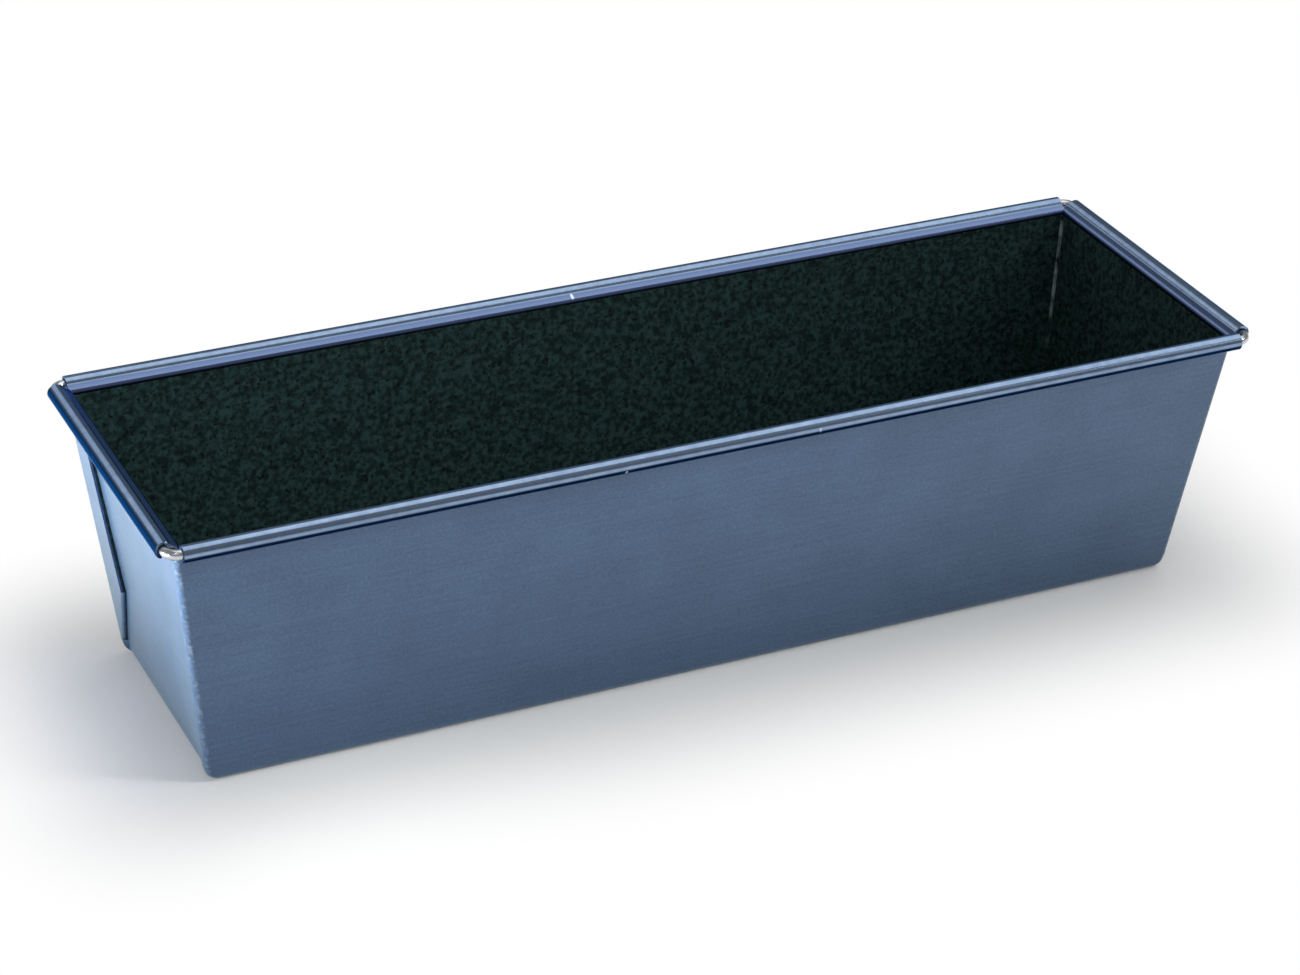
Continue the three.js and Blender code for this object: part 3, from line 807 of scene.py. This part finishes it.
# %% Sweep the four sides of the rim
LAP_LEVEL = AXIS_Z + rim_line[0]["point"].y
BEAD_END = 3.3 * MM
FOOT_LAP = 0.3 * MM
FOOT_LEVEL = SHOULDER_LEVEL + 0.6 * MM
shoulder = [i for i, m in enumerate(rim_line) if AXIS_Z + m["point"].y > FOOT_LEVEL][0]
foot, bead = rim_line[:shoulder + 1], rim_line[shoulder:]
sides = {
    "rim_long_sides": (0, AXIS_Y, AXIS_X - BEAD_END, wall_x(LAP_LEVEL) + FOOT_LAP),
    "rim_end_sides": (1, AXIS_X, AXIS_Y - BEAD_END, wall_y(LAP_LEVEL) + FOOT_LAP),
}
for name, (turns, axis, bead_half, foot_half) in sides.items():
    joined = bmesh.new()
    for marks, half in ((foot, foot_half), (bead, bead_half)):
        points, edges = rim_section(marks)
        swept = grow(rim_tree, name, points, edges, {
            "Run Length": 2 * half, "Axis Distance": axis, "Axis Height": AXIS_Z,
            "Quarter Turns": float(turns), "Finish": rim_enamel,
        })
        joined.from_mesh(swept)
        bpy.data.meshes.remove(swept)
    close_seams(joined)
    mesh = bpy.data.meshes.new(name)
    joined.to_mesh(mesh)
    joined.free()
    mesh.materials.append(rim_enamel)
    finish_mesh(mesh, SHARP_FOLD)
    rim_piece = bpy.data.objects.new(name, mesh)
    bpy.context.collection.objects.link(rim_piece)
    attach(rim_piece, "root")
    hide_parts("pan_sheet")
    print("piece:", name, len(mesh.polygons), "faces")

# %% [markdown]
# ## The rim wires
# Two bent wires stiffen the rim. Each runs along a long side, round one end and back, and their ends butt
# inside the curl. At the four corners the curl stops short, and the bend of the wire lies open. A tube on a
# filleted path is all it takes: the tree rounds the corners of a three-legged line and sweeps a circle.

# %% Build the tree that bends a wire
wire_tree, size = new_tree("bent_rim_wire", {
    "Wire Radius": "NodeSocketFloat", "Bend Radius": "NodeSocketFloat", "Finish": "NodeSocketMaterial",
})
legs = add_node(wire_tree, "GeometryNodeMeshToCurve", {"Mesh": size["Geometry"]})
bent = add_node(wire_tree, "GeometryNodeFilletCurve", {
    "Curve": legs.outputs[0], "Count": 14, "Radius": size["Bend Radius"],
}, mode="POLY")
round_section = add_node(wire_tree, "GeometryNodeCurvePrimitiveCircle", {
    "Resolution": 32, "Radius": size["Wire Radius"],
})
tube = add_node(wire_tree, "GeometryNodeCurveToMesh", {
    "Curve": bent.outputs[0], "Profile Curve": round_section.outputs[0], "Fill Caps": True,
})
whole = add_node(wire_tree, "GeometryNodeRealizeInstances", {"Geometry": tube.outputs[0]})
painted = add_node(wire_tree, "GeometryNodeSetMaterial", {
    "Geometry": whole.outputs[0], "Material": size["Finish"],
})
add_node(wire_tree, "NodeGroupOutput", {"Geometry": painted.outputs[0]})
print("tree:", wire_tree.name, len(wire_tree.nodes), "nodes")

# %% Bend both wires
JOINT_GAP = 0.4 * MM
WIRE_BEND = 3 * MM
SHARP_TUBE = radians(50)
for node in ("rim_wire_left", "rim_wire_right"):
    name = node.replace("rim_wire", "bent_wire")
    end_x, near_x, far_x = AXIS_X, WIRE_JOINTS["near"], WIRE_JOINTS["far"]
    if node == "rim_wire_left":
        end_x, far_x = -AXIS_X, WIRE_JOINTS["far"] - JOINT_GAP
    else:
        near_x = WIRE_JOINTS["near"] + JOINT_GAP
    corners = [(near_x, -AXIS_Y), (end_x, -AXIS_Y), (end_x, AXIS_Y), (far_x, AXIS_Y)]
    points = [(x, y, AXIS_Z) for x, y in corners]
    mesh = grow(wire_tree, name, points, [(0, 1), (1, 2), (2, 3)], {
        "Wire Radius": WIRE_DIAMETER / 2, "Bend Radius": WIRE_BEND, "Finish": bright_wire,
    })
    tube = bmesh.new()
    tube.from_mesh(mesh)
    close_seams(tube)
    tube.to_mesh(mesh)
    tube.free()
    finish_mesh(mesh, SHARP_TUBE)
    wire = bpy.data.objects.new(name, mesh)
    bpy.context.collection.objects.link(wire)
    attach(wire, "root")
    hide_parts(node)
    print("piece:", wire.name, len(mesh.polygons), "faces")

# %% [markdown]
# ## Floor and studio light
# The pan stands on a plain pale floor. A white floor throws a lot of light back up, which would wash out the
# foot of the walls, so its bounce is kept lower than its look: the camera, and whatever mirrors it, sees a
# white floor, and the light that it scatters comes from a darker one. Close round the pan the floor that is
# seen is mostly plain paint, which keeps the shadow, and a few fingers away it has faded into an even white.

# %% Pale studio floor
FADE = 65 * MM
GLOW_AT_PAN = 0.18
REACH = 4.0
FLOOR_DROP = 0.05 * MM
floor_paint, tree = new_material("pale_studio_floor")
path = add_node(tree, "ShaderNodeLightPath").outputs
seen = add_node(tree, "ShaderNodeMath", {
    0: path["Is Camera Ray"], 1: path["Is Glossy Ray"],
}, operation="MAXIMUM")
seen = add_node(tree, "ShaderNodeMath", {
    0: seen.outputs[0], 1: path["Is Transmission Ray"],
}, operation="MAXIMUM")
scatter = add_node(tree, "ShaderNodeBsdfDiffuse", {"Color": linear("#484848")})
white = add_node(tree, "ShaderNodeBsdfDiffuse", {"Color": linear("#fafafa")})
place = add_node(tree, "ShaderNodeTexCoord").outputs["Object"]
far = add_node(tree, "ShaderNodeVectorMath", {0: place}, operation="ABSOLUTE")
far = add_node(tree, "ShaderNodeVectorMath", {
    0: far.outputs[0], 1: (wall_x(0), wall_y(0), 0),
}, operation="SUBTRACT")
far = add_node(tree, "ShaderNodeVectorMath", {0: far.outputs[0]}, operation="MAXIMUM")
far = add_node(tree, "ShaderNodeVectorMath", {0: far.outputs[0]}, operation="LENGTH")
far = add_node(tree, "ShaderNodeMapRange", {
    "Value": far.outputs["Value"], "From Min": 0.0, "From Max": FADE, "To Min": GLOW_AT_PAN,
}, interpolation_type="SMOOTHSTEP")
glow = add_node(tree, "ShaderNodeEmission", {"Strength": 1.0})
white = add_node(tree, "ShaderNodeMixShader", {0: far.outputs[0], 1: white.outputs[0], 2: glow.outputs[0]})
mixed = add_node(tree, "ShaderNodeMixShader", {
    0: seen.outputs[0], 1: scatter.outputs[0], 2: white.outputs[0],
})
add_node(tree, "ShaderNodeOutputMaterial", {"Surface": mixed.outputs[0]})
mesh = bpy.data.meshes.new("studio_floor")
corners = [(-REACH, -REACH, 0), (REACH, -REACH, 0), (REACH, REACH, 0), (-REACH, REACH, 0)]
mesh.from_pydata(corners, [], [(0, 1, 2, 3)])
mesh.materials.append(floor_paint)
floor = bpy.data.objects.new("studio_floor", mesh)
floor.location.z = -FLOOR_DROP
bpy.context.collection.objects.link(floor)
floor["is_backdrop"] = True
print("stage:", floor.name)

# %% [markdown]
# ## The surround
# A photographer hangs plain pale cloth round such a pan. The colour of the world stands for it: an even grey
# from every side, which fills the shadows and gives the shining rim something calm to mirror. A picture of
# a room would put shapes into the beads that the real ones do not show.

# %% A pale surround
world = bpy.data.worlds.new("pale_surround")
bpy.context.scene.world = world
world.use_nodes = True
tree = world.node_tree
tree.nodes.clear()
sky = add_node(tree, "ShaderNodeBackground", {"Color": linear("#898989"), "Strength": 1.0})
add_node(tree, "ShaderNodeOutputWorld", {"Surface": sky.outputs[0]})
print("surround:", world.name)

# %% [markdown]
# ## The lamps
# One big soft box overhead does most of the work and draws the broad light bands on the long beads. A strip
# behind the pan is mirrored by the beads of the two ends, and a low box at the left lights only the left end.
# A narrow key from the right reaches into the left half of the loaf space, a weak box at the front left
# fills the long wall, and a small lamp brightens the floor that the left part of that wall mirrors. All are
# white, and the camera sees none of them.

# %% Six soft lamps
def soft_lamp(name, place, aim, width, depth, watts, spread=180):
    data = bpy.data.lights.new(name, "AREA")
    data.shape = "RECTANGLE"
    data.size, data.size_y, data.energy, data.spread = width, depth, watts, radians(spread)
    lamp = bpy.data.objects.new(name, data)
    lamp.location = place
    lamp.rotation_euler = (Vector(aim) - Vector(place)).to_track_quat("-Z", "Y").to_euler()
    lamp.visible_camera = False
    bpy.context.collection.objects.link(lamp)
    print("lamp:", name, watts, "W")


soft_lamp("over_box", (0.35, 0.05, 0.93), (0, 0, 0.04), 1.0, 1.0, 3.8)
soft_lamp("back_strip", (-0.25, 0.83, 0.65), (0, 0, 0.07), 0.7, 0.36, 0.68)
soft_lamp("left_box", (-0.8, 0, 0.045), (-0.15, 0, 0.11), 0.4, 0.05, 0.9, 22)
soft_lamp("key_spot", (0.62, -0.5, 0.62), (-0.22, 0.03, 0.04), 0.3, 0.3, 0.12, 22)
soft_lamp("front_box", (-0.38, -0.65, 0.6), (0, 0, 0.05), 0.5, 0.4, 0.3)
soft_lamp("front_floor", (-0.2, -0.25, 0.45), (-0.12, -0.13, 0), 0.08, 0.08, 0.03, 18)

# %% [markdown]
# ## Camera
# The camera was fitted to the straight edges of the pan in the photograph: it stands to the left of the
# front, well above the rim, with a long lens and a very slight tilt. Its axes are built from the two angles
# and the tilt, and the focal length in pixels becomes a lens in millimetres for a 36 mm sensor.

# %% Set the camera
AZIMUTH, ELEVATION, ROLL = radians(-25.52), radians(28.93), radians(1.42)
FOCAL_PIXELS, IMAGE_WIDTH, SENSOR_WIDTH = 3649.9, 1300, 36
DISTANCE = 0.952
TARGET = Vector((-3.10, -0.97, 37.75)) * MM
away = Vector((sin(AZIMUTH) * cos(ELEVATION), -cos(AZIMUTH) * cos(ELEVATION), sin(ELEVATION)))
level_right = Vector((0, 0, 1)).cross(away).normalized()
level_up = away.cross(level_right)
right = cos(ROLL) * level_right + sin(ROLL) * level_up
up = cos(ROLL) * level_up - sin(ROLL) * level_right
data = bpy.data.cameras.new("photo_camera")
data.sensor_fit = "HORIZONTAL"
data.sensor_width = SENSOR_WIDTH
data.lens = FOCAL_PIXELS * SENSOR_WIDTH / IMAGE_WIDTH
camera = bpy.data.objects.new("photo_camera", data)
turned = Matrix((right, up, away)).transposed().to_4x4()
camera.matrix_world = Matrix.Translation(TARGET + DISTANCE * away) @ turned
bpy.context.collection.objects.link(camera)
bpy.context.scene.camera = camera
bpy.context.scene.view_settings.view_transform = "Standard"
print(f"lens {data.lens:.1f} mm at {DISTANCE} m")

# %% [markdown]
# ## Sizes and finish
# A dressed piece must not grow past the solids that it stands for, so the boxes of both are written down to
# be compared.

# %% Write the sizes and finish
low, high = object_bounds()
print("visual box:", [round(v, 5) for v in high - low])
